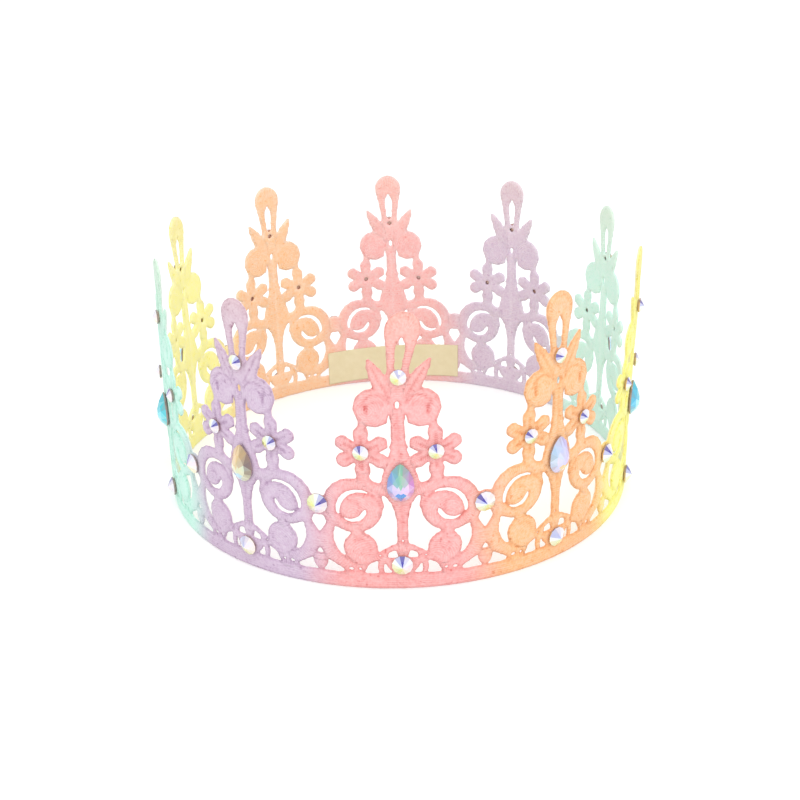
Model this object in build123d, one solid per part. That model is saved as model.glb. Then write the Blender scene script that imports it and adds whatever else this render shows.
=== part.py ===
from build123d import *
from math import acos, cos, pi, radians, sin
import os

# A costume crown: a stiffened strip of openwork lace closed into a ring, with glued stones
# and a woven label inside at the back. Millimetres, Z up, the axis of the ring on Z, the lower
# edge of the lace at z = 0 and the middle of the first motif at the front, on -Y.

# The ring
MOTIF_COUNT = 10
RING_RADIUS = 80.0
LACE_THICKNESS = 1.2
BAND_HEIGHT = 5.0
CHORD_DEPTH = 0.45

# Widths of the embroidered strands
STEM_WIDTH = 3.3
HOOP_STRAND = 2.4
CROWN_STRAND = 3.4
NECK_WIDTH = 3.4
TIE_WIDTH = 2.4
SLIT_WIDTH = 0.9
STONE_NECK_WIDTHS = (5.0, 6.0)

# Round forms of the motif
ARCH_RADIUS = 7.6
DISC_RADIUS = 5.1
HOOP_RADIUS = 10.0
SCROLL_RADIUS = 9.0
SCROLL_SLIT_RADIUS = 7.0
SCROLL_EYE_RADIUS = 4.1
BALL_RADIUS = 5.8
LOOP_RADIUS = 4.7
LOOP_EYE_RADIUS = 1.5

# Flowers and leaves
PETAL_ANGLES = (90, 27, -27, -90, -153, 153)
PETAL_REACH = 7.8
PETAL_WIDTH = 4.3
LEAF_LENGTH = 15.2
LEAF_WIDTH = 3.4
LEAF_LEAN = 28.5

# Outlines of a petal and a leaf, as shares of the length and of half the width
PETAL_OUTLINE = ((0, 0.6), (0.75, 1), (0.97, 0.6), (0.97, -0.6), (0.75, -1), (0, -0.6))
LEAF_OUTLINE = ((0, 0), (0.5, 1), (1, 0), (0.5, -1))

# How the stem spreads: shares of the way out to the pear seat, and heights over the pear stone
STEM_FLARE = ((0, -11.5), (0.31, -5.6), (1, -0.8), (0.88, 3.2), (0.31, 9.0), (0, 15.5))

# Small outlines, as steps along the ring and up from the form that each belongs to
ARCH_WINDOW = ((1.7, 3.2), (2.2, 4.8), (3.8, 4.5), (4.3, 2.9))
SIDE_WINDOW = ((3.3, 0.4), (5.7, 0.4), (5.5, 3.4))
CROSSING_FOOT = ((-7.9, 0), (-7.4, 1.2), (-2.3, 4.4), (0, 8.4))
CROSSING_SEAT = ((-2.4, -5.4), (-1.5, -3.0), (-2.5, 0), (-4.5, -3.0))
CROSSING_WAIST = 4.3
WEDGE_OUTLINE = (CROSSING_FOOT[2], (-1.6, 5.8), (0.6, 5.8), (0.6, -1.0), (-0.5, -1.0), (-0.9, 1.6))
ARCH_TIE = (3.2, 5.1)
SHOULDER_FOOT = (-1.5, -1.3)
SHOULDER_TOP = (-4.0, -2.3)

# Where the foot of the hoop starts beside its middle, and the part of a circle that it follows
HOOP_FOOT = -0.3
HOOP_ANGLES = (-90, 35)

# Slits of the scroll: the middle of each arc from the middle of the scroll, and its angles
SLIT_MIDDLE = (-2.2, -1.5)
SLIT_ANGLES = ((-12, 72), (98, 126))
EYE_MIDDLE = (0.6, -1.3)
EYE_ANGLES = (190, 308)

# Steps from each form up to the next
BASE_STONE_LIFT = 2.9
DISC_LIFT = 3.7
HOOP_LIFT = 2.4
NECK_LENGTH = 0.5
JUNCTION_DROP = 1.1
PEAR_LIFT = 6.0
FLOWER_GAP = 0.3
BALL_TO_STONE = 9.2
STONE_TO_LOOP = 14.3
LOOP_EYE_LENGTH = 9.5

# Steps along the ring, and how far a strand runs into the form that it joins
SEAT_OVERLAP = 1.7
DISC_STEP = 1.8
HOOP_STEP = 0.6
FLOWER_STEP = 3.7
BALL_GAP = 0.9
OVERLAP = 1.0

# Stones
ROUND_STONE_DIAMETER = 6.4
ROUND_STONE_HEIGHT = 2.6
SMALL_STONE_DIAMETER = 4.7
SMALL_STONE_HEIGHT = 2.0
STONE_GIRDLE = 0.9
FACETS = 8
PEAR_WIDTH = 8.0
PEAR_LENGTH = 12.1
PEAR_HEIGHT = 3.4
PEAR_SHOULDER = (0.76, 0.45)
SEAT_RIM = 0.2
PEAR_RIM = 1.8
GLUE_FILM = 0.05

# The label
LABEL_LENGTH = 54.0
LABEL_HEIGHT = 14.0
LABEL_THICKNESS = 0.25
LABEL_LIFT = 1.0
LABEL_GAP = 0.05

# Worked out from the sizes above
MOTIF_ANGLE = 360 / MOTIF_COUNT
RING_SIDES = 4 * MOTIF_COUNT
HALF_PITCH = pi * RING_RADIUS / MOTIF_COUNT
OUTER_RADIUS = RING_RADIUS + LACE_THICKNESS / 2
INNER_RADIUS = RING_RADIUS - LACE_THICKNESS / 2
ROUND_SEAT = ROUND_STONE_DIAMETER / 2 + SEAT_RIM
SMALL_SEAT = SMALL_STONE_DIAMETER / 2 + SEAT_RIM
PEAR_RADIUS = PEAR_WIDTH / 2
STEM_HALF = STEM_WIDTH / 2
PEAR_SEAT = PEAR_RADIUS + PEAR_RIM

BASE_STONE_Z = BAND_HEIGHT + BASE_STONE_LIFT
DISC_Z = BAND_HEIGHT + DISC_LIFT + DISC_RADIUS
HOOP_Z = BAND_HEIGHT + HOOP_LIFT + HOOP_RADIUS
SCROLL_Z = DISC_Z + DISC_RADIUS + NECK_LENGTH + SCROLL_RADIUS
JUNCTION_Z = SCROLL_Z - JUNCTION_DROP
PEAR_Z = SCROLL_Z + PEAR_LIFT
FLOWER_Z = SCROLL_Z + SCROLL_RADIUS + FLOWER_GAP + PETAL_REACH
BALL_Z = FLOWER_Z + PETAL_REACH + FLOWER_GAP + BALL_RADIUS
TOP_STONE_Z = BALL_Z + BALL_TO_STONE
LOOP_Z = TOP_STONE_Z + STONE_TO_LOOP
CROWN_HEIGHT = LOOP_Z + LOOP_RADIUS

SCROLL_X = HALF_PITCH - ROUND_SEAT - SCROLL_RADIUS + SEAT_OVERLAP
DISC_X = SCROLL_X - DISC_STEP
HOOP_X = DISC_X - HOOP_STEP
FLOWER_X = SCROLL_X - FLOWER_STEP
BALL_X = BALL_RADIUS + BALL_GAP
LEAF_ROOT = (OVERLAP, BALL_Z + OVERLAP)
EDGE = HALF_PITCH + OVERLAP


def spot(along, up):
    """Where a point of the flat pattern lies when it is drawn straight ahead of the ring."""
    return (RING_RADIUS * sin(along / RING_RADIUS), up)


def arc_points(along, up, radius, first, last):
    """Points on an arc of the flat pattern, so close that no chord strays far from it."""
    widest = 2 * acos(1 - CHORD_DEPTH / radius)
    steps = max(1, round(radians(last - first) / widest))
    angles = [radians(first + (last - first) * step / steps) for step in range(steps + 1)]
    return [(along + radius * cos(angle), up + radius * sin(angle)) for angle in angles]


def patch(*points):
    """A patch of lace inside the given points."""
    face = Face(Wire.make_polygon([spot(*point) for point in points]))
    return Sketch() + (face if face.normal_at().Z > 0 else -face)


def disc(along, up, radius):
    """A round patch of lace, its left and right halves alike."""
    right = arc_points(along, up, radius, -90, 90)[:-1]
    left = arc_points(along, up, radius, 90, 270)[:-1]
    return patch(*right, *left)


def bar(start, end, width, end_width=None):
    """A straight strand between two points, which tapers if it has a second width."""
    start, end = Vector(*start), Vector(*end)
    side = (end - start).rotate(Axis.Z, 90).normalized()
    near, far = side * (width / 2), side * ((end_width or width) / 2)
    corners = (start + near, end + far, end - far, start - near)
    return patch(*[(corner.X, corner.Y) for corner in corners])


def arc_strand(along, up, radius, width, first, last):
    """A strand that follows a circle from one angle to another, with square ends."""
    inner = arc_points(along, up, radius - width / 2, first, last)
    outer = arc_points(along, up, radius + width / 2, first, last)
    return patch(*inner, *reversed(outer))


def shaped(outline, root, length, width, angle):
    """A patch whose outline is given in shares of its length and half its width."""
    corners = [Vector(length * far, width / 2 * wide).rotate(Axis.Z, angle) for far, wide in outline]
    return patch(*[(root[0] + corner.X, root[1] + corner.Y) for corner in corners])


def beside(steps, along, up):
    """Points at the given steps from a place in the pattern."""
    return [(along + across, up + rise) for across, rise in steps]


def stem():
    """The middle strand, which spreads out into the seat of the pear stone."""
    spread = PEAR_SEAT - STEM_HALF
    flare = [(STEM_HALF + spread * share, PEAR_Z + rise) for share, rise in STEM_FLARE]
    foot = [(0, BASE_STONE_Z), (STEM_HALF, BASE_STONE_Z)]
    top = [(STEM_HALF, TOP_STONE_Z), (0, TOP_STONE_Z)]
    return patch(*foot, *flare, *top)


def arch_openings():
    """The hole above the base stone and the one beside it."""
    return patch(*beside(ARCH_WINDOW, 0, BASE_STONE_Z)) + patch(*beside(SIDE_WINDOW, 0, BAND_HEIGHT))


def scroll_slits():
    """The three curved slits that let the spiral of the scroll show."""
    middle, eye = beside((SLIT_MIDDLE, EYE_MIDDLE), SCROLL_X, SCROLL_Z)
    slits = arc_strand(*eye, SCROLL_EYE_RADIUS, SLIT_WIDTH, *EYE_ANGLES)
    for angles in SLIT_ANGLES:
        slits += arc_strand(*middle, SCROLL_SLIT_RADIUS, SLIT_WIDTH, *angles)
    return slits


def loop_eye():
    """The long eye of the loop, with a round top."""
    top = LOOP_Z - LOOP_RADIUS + LOOP_EYE_RADIUS
    foot = top - LOOP_EYE_LENGTH
    sides = patch((0, top), (LOOP_EYE_RADIUS, top), (LOOP_EYE_RADIUS - 0.5, foot), (0, foot))
    return sides + disc(0, top, LOOP_EYE_RADIUS)


def junction():
    """The crossing strands that join one motif to the next under the junction stone."""
    feet = beside(CROSSING_FOOT, HALF_PITCH, BAND_HEIGHT)
    low = feet[-1][1]
    high = low + CROSSING_WAIST
    waist = [(EDGE, low), (EDGE, high), (HALF_PITCH, high)]
    seat = beside(CROSSING_SEAT, HALF_PITCH, JUNCTION_Z)
    hoop = [(HOOP_X + HOOP_RADIUS, HOOP_Z), (HOOP_X, HOOP_Z - HOOP_RADIUS)]
    wedge = patch(*beside(WEDGE_OUTLINE, HALF_PITCH, BAND_HEIGHT))
    return patch(*feet, *waist, *seat, *hoop) + wedge + disc(HALF_PITCH, JUNCTION_Z, ROUND_SEAT)


def lower_strands():
    """The disc, the hoop around it and the ties to the band, the arch and the scroll."""
    foot = HOOP_Z - HOOP_RADIUS
    near, far = HOOP_X + HOOP_FOOT, HALF_PITCH + CROSSING_FOOT[0][0]
    neck = (DISC_X + SCROLL_X) / 2
    return (
        disc(DISC_X, DISC_Z, DISC_RADIUS)
        + arc_strand(HOOP_X, HOOP_Z, HOOP_RADIUS, HOOP_STRAND, *HOOP_ANGLES)
        + bar((HOOP_X, foot), (ARCH_TIE[0], BASE_STONE_Z + ARCH_TIE[1]), HOOP_STRAND)
        + patch((near, 0), (far, 0), (far, foot + OVERLAP), (near, foot))
        + bar((HOOP_X, foot), (DISC_X, DISC_Z), DISC_RADIUS)
        + bar((neck, DISC_Z), (neck, SCROLL_Z - SCROLL_RADIUS + OVERLAP), NECK_WIDTH)
    )


def shoulder_strand():
    """The strand that runs from the seat of the pear stone over the top of the scroll."""
    foot = beside((SHOULDER_FOOT,), PEAR_SEAT, PEAR_Z)[0]
    top = beside((SHOULDER_TOP,), SCROLL_X, SCROLL_Z + SCROLL_RADIUS)[0]
    return bar(foot, top, CROWN_STRAND)


def petal(angle):
    """One petal of the flower, widest near its blunt tip."""
    return shaped(PETAL_OUTLINE, (FLOWER_X, FLOWER_Z), PETAL_REACH, PETAL_WIDTH, angle)


def flower():
    """A flower of six petals, tied to the scroll below it and to the ball above it."""
    petals = petal(PETAL_ANGLES[0])
    for angle in PETAL_ANGLES[1:]:
        petals += petal(angle)
    root = PETAL_REACH * 2 / 3
    below = bar((FLOWER_X, FLOWER_Z - root), (FLOWER_X, SCROLL_Z + SCROLL_RADIUS - 2 * OVERLAP), STEM_WIDTH)
    above = bar((FLOWER_X, FLOWER_Z + root), (BALL_X + BALL_RADIUS / 2, BALL_Z - BALL_RADIUS / 2), TIE_WIDTH)
    return petals + below + above


def leaf():
    """The pointed leaf beside the top stone, which grows out between the two balls."""
    return shaped(LEAF_OUTLINE, LEAF_ROOT, LEAF_LENGTH, LEAF_WIDTH, 90 - LEAF_LEAN)


def motif_pattern():
    """The flat pattern of the right half of one motif, from its middle to the next junction."""
    half = patch((0, 0), (EDGE, 0), (EDGE, BAND_HEIGHT), (0, BAND_HEIGHT))
    half += disc(0, BASE_STONE_Z, ARCH_RADIUS)
    half += stem()
    half += lower_strands()
    half += disc(SCROLL_X, SCROLL_Z, SCROLL_RADIUS)
    half += shoulder_strand()
    half += junction()
    half += flower()
    half += disc(BALL_X, BALL_Z, BALL_RADIUS)
    half += bar((0, BALL_Z + OVERLAP), (0, TOP_STONE_Z), *STONE_NECK_WIDTHS)
    half += disc(0, TOP_STONE_Z, SMALL_SEAT)
    half += leaf()
    half += disc(0, LOOP_Z, LOOP_RADIUS)
    half += bar((0, TOP_STONE_Z), (0, LOOP_Z), STONE_NECK_WIDTHS[1], 2 * LOOP_RADIUS)
    half -= arch_openings() + scroll_slits() + loop_eye()
    top = CROWN_HEIGHT + OVERLAP
    right_side = patch((0, -OVERLAP), (EDGE, -OVERLAP), (EDGE, top), (0, top))
    return half & right_side


def ring_wall(radius):
    """The inside of a prism round the ring, with one flat for each stem and each junction."""
    corner = radius / cos(pi / RING_SIDES)
    return extrude(RegularPolygon(corner, RING_SIDES, rotation=90 + 180 / RING_SIDES), CROWN_HEIGHT)


def lace_motif():
    """One motif bent round the ring, cut off where the next one starts."""
    right = Plane.XZ * extrude(motif_pattern(), OUTER_RADIUS + OVERLAP)
    plate = right + mirror(right, Plane.YZ)
    reach = 1.2 * OUTER_RADIUS
    across = reach * sin(radians(MOTIF_ANGLE / 2))
    ahead = -reach * cos(radians(MOTIF_ANGLE / 2))
    sector = extrude(make_face(Polyline((0, 0), (-across, ahead), (across, ahead), close=True)), CROWN_HEIGHT)
    return plate & (ring_wall(OUTER_RADIUS) & sector) - ring_wall(INNER_RADIUS)


def around(piece, steps):
    """The piece turned round the ring from the front by a number of motifs."""
    return Rot(Z=steps * MOTIF_ANGLE) * piece


def lace_band():
    """The whole ring of lace."""
    motif = lace_motif()
    return motif.fuse(*[around(motif, number) for number in range(1, MOTIF_COUNT)])


def label():
    """The woven label that is glued inside the back of the ring."""
    front = INNER_RADIUS - LABEL_GAP - LABEL_THICKNESS
    strip = ring_wall(INNER_RADIUS - LABEL_GAP) - ring_wall(front)
    half = spot(LABEL_LENGTH / 2, 0)[0]
    cutter = Box(2 * half, 2 * RING_RADIUS, LABEL_HEIGHT, align=(Align.CENTER, Align.MIN, Align.MIN))
    return strip & Pos(Z=LABEL_LIFT) * cutter


def faceted(outline, height, peak):
    """A cut stone lying on its flat back: an upright edge and facets that rise to one point."""
    girdle = extrude(outline, STONE_GIRDLE)
    crown = loft([Pos(Z=STONE_GIRDLE) * outline.face(), Vertex(0, peak, height)], ruled=True)
    return girdle + crown


def round_stone(diameter, height):
    """A round stone with wedge-shaped facets that meet in its middle."""
    return faceted(RegularPolygon(diameter / 2, FACETS, rotation=180 / FACETS), height, 0)


def pear_stone():
    """A pear-shaped stone with its point up, its origin in the middle of the round end."""
    tip = PEAR_LENGTH - PEAR_RADIUS
    round_end = [
        (PEAR_RADIUS * cos(radians(angle)), PEAR_RADIUS * sin(radians(angle)))
        for angle in range(-195, 16, 30)
    ]
    across, up = PEAR_SHOULDER[0] * PEAR_RADIUS, PEAR_SHOULDER[1] * tip
    return faceted(Polygon(*round_end, (across, up), (0, tip), (-across, up)), PEAR_HEIGHT, PEAR_RADIUS / 8)


def seated(stone, along, up, turn=0):
    """A stone set on the outside of the lace, on a flat turned that far from the front."""
    middle = OUTER_RADIUS * sin(radians(turn))
    slide = (spot(along, up)[0] - middle) / cos(radians(turn))
    seat = Plane(origin=(slide, -OUTER_RADIUS - GLUE_FILM, up), x_dir=(1, 0, 0), z_dir=(0, -1, 0))
    return Rot(Z=turn) * (seat * stone)


def flower_pair():
    """The two flower stones of one motif."""
    stone = round_stone(SMALL_STONE_DIAMETER, SMALL_STONE_HEIGHT)
    right = seated(stone, FLOWER_X, FLOWER_Z, MOTIF_ANGLE / 4)
    return Compound(children=[right, mirror(right, Plane.YZ)])


def save(piece, name):
    """Write one piece to its own file."""
    export_step(piece, f"parts/{name}.step")


if __name__ == "__main__":
    os.makedirs("parts", exist_ok=True)
    big = round_stone(ROUND_STONE_DIAMETER, ROUND_STONE_HEIGHT)
    small = round_stone(SMALL_STONE_DIAMETER, SMALL_STONE_HEIGHT)
    stones = {
        "base_stone": seated(big, 0, BASE_STONE_Z),
        "junction_stone": around(seated(big, 0, JUNCTION_Z), 0.5),
        "pear_stone": seated(pear_stone(), 0, PEAR_Z),
        "top_stone": seated(small, 0, TOP_STONE_Z),
        "flower_stones": flower_pair(),
    }
    save(lace_band(), "lace_band")
    save(label(), "label")
    for name, stone in stones.items():
        for number in range(MOTIF_COUNT):
            save(around(stone, number), f"{name}_{number + 1}")
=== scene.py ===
import bpy
import math
import numpy as np
from bpy.props import FloatProperty, FloatVectorProperty, IntProperty, PointerProperty
from mathutils import Matrix, Vector


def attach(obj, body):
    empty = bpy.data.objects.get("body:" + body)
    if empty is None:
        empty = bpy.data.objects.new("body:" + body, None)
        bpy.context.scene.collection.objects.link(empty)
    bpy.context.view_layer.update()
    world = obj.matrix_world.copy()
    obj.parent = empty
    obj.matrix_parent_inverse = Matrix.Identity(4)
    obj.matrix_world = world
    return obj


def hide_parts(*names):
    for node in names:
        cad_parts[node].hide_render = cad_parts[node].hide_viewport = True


bl_info = {
    "name": "Lace Crown",
    "version": (1, 0, 0),
    "blender": (4, 5, 0),
    "location": "3D View > Sidebar > Crown",
    "description": "A stiffened lace crown with dyed motifs, glued stones and a woven label",
    "category": "Add Mesh",
}

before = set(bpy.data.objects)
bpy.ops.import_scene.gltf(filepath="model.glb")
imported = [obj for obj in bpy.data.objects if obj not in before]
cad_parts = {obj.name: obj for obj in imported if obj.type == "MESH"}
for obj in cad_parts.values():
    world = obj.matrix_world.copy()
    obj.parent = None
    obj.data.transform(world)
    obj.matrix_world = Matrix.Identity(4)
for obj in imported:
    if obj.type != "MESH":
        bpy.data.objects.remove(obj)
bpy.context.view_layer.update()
MM = 0.001
MOTIFS = 10
MOTIF_ANGLE = 36


def srgb(red, green, blue):
    """A display colour of 0 to 255 a channel as the linear colour a shader takes."""
    channels = np.array([red, green, blue], float) / 255
    linear = np.where(channels <= 0.04045, channels / 12.92, ((channels + 0.055) / 1.055) ** 2.4)
    return tuple(float(value) for value in linear)


# The pattern of the lace, in millimetres along the ring and up, from the middle of a motif.
RING = 80.0
HALF_PITCH = math.pi * RING / MOTIFS
CROWN_TOP = 87.6
BAND_TOP = 5.0
BASE_STONE = (0.0, 7.9)
ARCH_RADIUS = 6.0
DISC = (12.63, 13.8)
DISC_RADIUS = 5.1
HOOP = (12.03, 17.4)
HOOP_RADIUS = 10.0
HOOP_WIDTH = 2.4
SCROLL = (14.43, 27.9)
SCROLL_RADIUS = 8.6
SCROLL_WIDTH = 3.6
COIL = (12.4, 26.2)
COIL_SLIT_RADIUS = 6.6
JUNCTION = (HALF_PITCH, 27.3)
PEAR = (0.0, 34.4)
FLOWER = (10.73, 45.5)
PETAL_ANGLES = (90, 27, -27, -90, -153, 153)
PETAL_REACH = 8.3
UPRIGHT_PETAL_REACH = 7.8
PETAL_WIDTHS = (2.7, 4.5)
PETAL_VEIN = 5.4
BALL = (6.7, 59.4)
BALL_RADIUS = 5.8
LEAF_ROOT = (1.0, 60.4)
LEAF_LEAN = 30
LEAF_LENGTH = 16.1
LEAF_HALF = 2.3
TOP_STONE = (0.0, 68.6)
LOOP = (0.0, 82.9)
LOOP_RADIUS = 4.95
EYELET_RADIUS = 0.85

# How far each motif is swayed along the ring and leant outwards at these heights, in millimetres.
BEND_HEIGHTS = (0, 25, 40, 58, 70, 85)
SWAY = (
    (0, 0, -0.5, -0.9, -0.6, 1.5), (0, 0, -0.2, -0.5, -0.8, -1), (0, 0, 0.1, 0.3, 0.4, 0.5),
    (0, 0, 0.1, 0.2, 0.3, 0.3), (0, 0, 0.1, 0.4, 0.5, 0.7), (0, 0, 0.3, 0.8, 1.1, 1.5),
    (0, 0, 0.2, 0.5, 0.7, 1), (0, 0, 0, 0.1, 0.1, 0.1), (0, 0, 0.1, 0.2, 0.3, 0.4),
    (0, 0, 0.1, 0.2, 0.3, 0.4),
)
LEAN = (
    (0, 0, -0.1, -0.2, -0.3, -0.5), (0, 0, 0, 0, 0, 0), (0, 0, 0.2, 0.6, 0.9, 1.1),
    (0, 0, 0, 0.1, 0.1, 0.1), (0, 0, 0, -0.1, -0.1, -0.1), (0, 0, -0.2, -0.4, -0.6, -0.8),
    (0, 0, 0.2, 0.4, 0.6, 0.8), (0, 0, 0.1, 0.3, 0.5, 0.7), (0, 0, -0.2, -0.5, -0.7, -1),
    (0, 0, -0.1, -0.3, -0.4, -0.6),
)


# Distances in the flat pattern. Each is below zero inside its form.

def to_disc(s, z, centre, radius):
    """The distance to the centre less the radius."""
    return np.hypot(s - centre[0], z - centre[1]) - radius


def to_line(s, z, start, end):
    """How far along a line the nearest point lies, from 0 to 1, and the distance to it."""
    run, rise = end[0] - start[0], end[1] - start[1]
    square = run * run + rise * rise
    share = np.clip(((s - start[0]) * run + (z - start[1]) * rise) / square, 0, 1)
    return share, np.hypot(s - start[0] - run * share, z - start[1] - rise * share)


def to_strand(s, z, start, end, width, end_width=None):
    """The distance to the middle line less half the width, which changes evenly to the end."""
    share, away = to_line(s, z, start, end)
    last = width if end_width is None else end_width
    return away - (width + (last - width) * share) / 2


def swept(across, up, first, last):
    """The direction of each point as an angle either way from the middle of an arc, held between
    the arc's ends, with the direction of that middle and half the angle of the arc."""
    middle, half = math.radians((first + last) / 2), math.radians((last - first) / 2)
    turn = (np.arctan2(up, across) - middle + np.pi) % (2 * np.pi) - np.pi
    return np.clip(turn, -half, half), middle, half


def to_arc(s, z, centre, radius, width, first, last):
    """The distance to the nearest point of a circular arc less half the strand's width."""
    across, up = s - centre[0], z - centre[1]
    turn, middle, _ = swept(across, up, first, last)
    turn = turn + middle
    return np.hypot(across - radius * np.cos(turn), up - radius * np.sin(turn)) - width / 2


def to_crescent(s, z, centre, radius, width, peak, first, last):
    """The distance to a strand along an arc whose width swells like a half wave and is greatest
    where the share of the way round is the peak."""
    across, up = s - centre[0], z - centre[1]
    turn, middle, half = swept(across, up, first, last)
    swell = np.sin(np.pi * ((turn + half) / (2 * half)) ** (math.log(0.5) / math.log(peak)))
    turn = turn + middle
    away = np.hypot(across - radius * np.cos(turn), up - radius * np.sin(turn))
    return away - width / 2 * (0.35 + 0.65 * swell)


def to_outline(s, z, points):
    """The distance to the nearest side, negative where a ray to the right crosses an odd count."""
    away = np.full(s.shape, 1e9)
    inside = np.zeros(s.shape, bool)
    for start, end in zip(points, points[1:] + points[:1]):
        away = np.minimum(away, to_line(s, z, start, end)[1])
        if start[1] != end[1]:
            spans = (start[1] > z) != (end[1] > z)
            crossing = start[0] + (end[0] - start[0]) * (z - start[1]) / (end[1] - start[1])
            inside ^= spans & (s < crossing)
    return np.where(inside, -away, away)


def turned(s, z, centre, degrees):
    """Coordinates along and across a direction through a point."""
    angle = math.radians(degrees)
    across, up = s - centre[0], z - centre[1]
    return (across * math.cos(angle) + up * math.sin(angle),
            up * math.cos(angle) - across * math.sin(angle))


def around_point(s, z, centre, reach):
    """The angle round a point, either way from its right, times a radius, so that its level
    lines fan out from the point."""
    return np.abs(np.arctan2(z - centre[1], s - centre[0])) * reach


def joined(first, second, blend):
    """A union with a fillet where the two forms meet: the smaller distance less a quarter of the
    blend times the square of how closely the two agree."""
    overlap = np.maximum(blend - np.abs(first - second), 0) / blend
    return np.minimum(first, second) - overlap * overlap * blend / 4


def dome(depth, reach):
    """A quarter circle: 0 at the edge, and 1 from the reach inwards."""
    return np.sqrt(1 - (1 - np.clip(depth / reach, 0, 1)) ** 2)


def petals(s, z):
    """Each petal is a strand that widens from the middle of the flower to a round tip."""
    narrow, wide = PETAL_WIDTHS
    for angle in PETAL_ANGLES:
        along, across = turned(s, z, FLOWER, angle)
        reach = UPRIGHT_PETAL_REACH if abs(angle) == 90 else PETAL_REACH
        away = to_strand(along, across, (0.8, 0), (reach - wide / 2, 0), narrow, wide)
        yield away, along * 1.1 - np.abs(across) * 0.9, 1.0


def strands(s, z):
    """Every strand of the half motif: its distance, the field whose level lines its threads
    follow, and how high it is padded."""
    stem = [(0, 7.9), (1.65, 7.9), (1.65, 22.9), (2.1, 26), (2.95, 28.8), (4.3, 31), (5.8, 33.6),
            (5.8, 35.2), (5.3, 37.6), (4.2, 40.6), (3.1, 43.4), (2.4, 46.6), (2.0, 50),
            (1.9, 56), (1.7, 68.6), (0, 68.6)]
    loop_sides = [(0, 68.6), (2.7, 68.6), (3.8, 76), (4.75, 81.2), (4.85, 82.9), (0, 82.9)]
    hoop_end, arch_end, shoulder = (11.2, 9.3), (5.0, 12.2), (4.3, 33.1)
    arch_fan = around_point(s, z, BASE_STONE, ARCH_RADIUS)
    hoop_fan = around_point(s, z, HOOP, HOOP_RADIUS)
    scroll_fan = around_point(s, z, SCROLL, 8.5)
    disc_rings = to_disc(s, z, (DISC[0] - 3, DISC[1] - 4), 0)
    yield np.abs(z - BAND_TOP / 2) - BAND_TOP / 2, z, 0.8
    yield to_arc(s, z, BASE_STONE, ARCH_RADIUS, 3.2, -20, 200), arch_fan, 1.0
    yield to_disc(s, z, BASE_STONE, ARCH_RADIUS), arch_fan, 0.55
    yield to_outline(s, z, stem), z, 0.9
    yield to_disc(s, z, DISC, DISC_RADIUS), disc_rings, 1.0
    yield to_arc(s, z, HOOP, HOOP_RADIUS, HOOP_WIDTH, -90, 35), hoop_fan, 0.9
    yield to_strand(s, z, hoop_end, arch_end, 2.3), turned(s, z, hoop_end, 155)[0], 0.8
    yield to_outline(s, z, [(11.7, 3), (17.4, 3), (17.4, 8.4), (11.7, 7.4)]), s, 0.6
    yield to_strand(s, z, (12.15, 10.1), DISC, DISC_RADIUS), disc_rings, 0.7
    yield to_strand(s, z, (13.5, 13.8), (13.6, 21), 3.5), z, 0.8
    yield to_arc(s, z, (14.2, 27.6), 7.2, SCROLL_WIDTH, -10, 175), scroll_fan, 1.0
    yield to_arc(s, z, (14.6, 27.6), 6.5, SCROLL_WIDTH, -180, 10), scroll_fan, 0.9
    yield to_disc(s, z, SCROLL, SCROLL_RADIUS), scroll_fan, 0.55
    yield to_disc(s, z, (12.4, 26.3), 6.0), to_disc(s, z, (14.4, 24.8), 0), 1.0
    yield to_strand(s, z, shoulder, (10.4, 35.1), 3.4), turned(s, z, shoulder, 18)[0], 0.9
    yield from junction(s, z)
    yield from petals(s, z)
    yield to_strand(s, z, (FLOWER[0], 40.5), (FLOWER[0], 35.6), 3.4, 3.9), z, 0.8
    yield to_strand(s, z, (FLOWER[0], 50.5), (9.7, 56.4), 2.5), z, 0.8
    yield to_disc(s, z, BALL, BALL_RADIUS), to_disc(s, z, (8.6, 58.4), 0), 1.0
    yield to_strand(s, z, (0, 60.4), (0, 68.6), 5, 6), z, 0.7
    yield to_disc(s, z, TOP_STONE, 2.6), z, 0.6
    yield from leaf(s, z)
    yield to_disc(s, z, LOOP, LOOP_RADIUS), around_point(s, z, (0, 80.6), 4.7), 1.0
    yield to_outline(s, z, loop_sides), z, 0.85


def junction(s, z):
    """The crossing strands and the seat of the junction stone, where the next motif begins."""
    edge = HALF_PITCH
    crossing = [(edge - 8, 4.5), (edge - 7.4, 6.2), (edge - 4.6, 7.9), (edge - 2.3, 9.4),
                (edge - 1.4, 10.8), (edge, 13.2), (edge + 1.4, 13.2), (edge + 1.4, 17.9),
                (edge, 17.9), (edge - 1.5, 20), (edge - 2.4, 21.9), (edge - 1.5, 24.3),
                (edge - 2.5, 27.3), (edge - 4.5, 24.3), (edge - 3.1, 17.4), (edge - 4.3, 13.2),
                (edge - 6.8, 9.7), (HOOP[0], 7.4)]
    wedge = [(edge - 2.5, 9.2), (edge - 1.6, 10.8), (edge + 1.6, 10.8), (edge + 2.5, 9.2),
             (edge + 0.9, 6.6), (edge + 0.5, 4), (edge - 0.5, 4), (edge - 0.9, 6.6)]
    button = (edge, 7.8)
    yield to_outline(s, z, crossing), around_point(s, z, HOOP, HOOP_RADIUS + 1), 0.85
    yield to_outline(s, z, wedge), z, 0.8
    yield to_disc(s, z, button, 2.15), to_disc(s, z, button, 0), 1.0
    yield to_disc(s, z, JUNCTION, 3.4), around_point(s, z, JUNCTION, 3), 0.6


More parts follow.
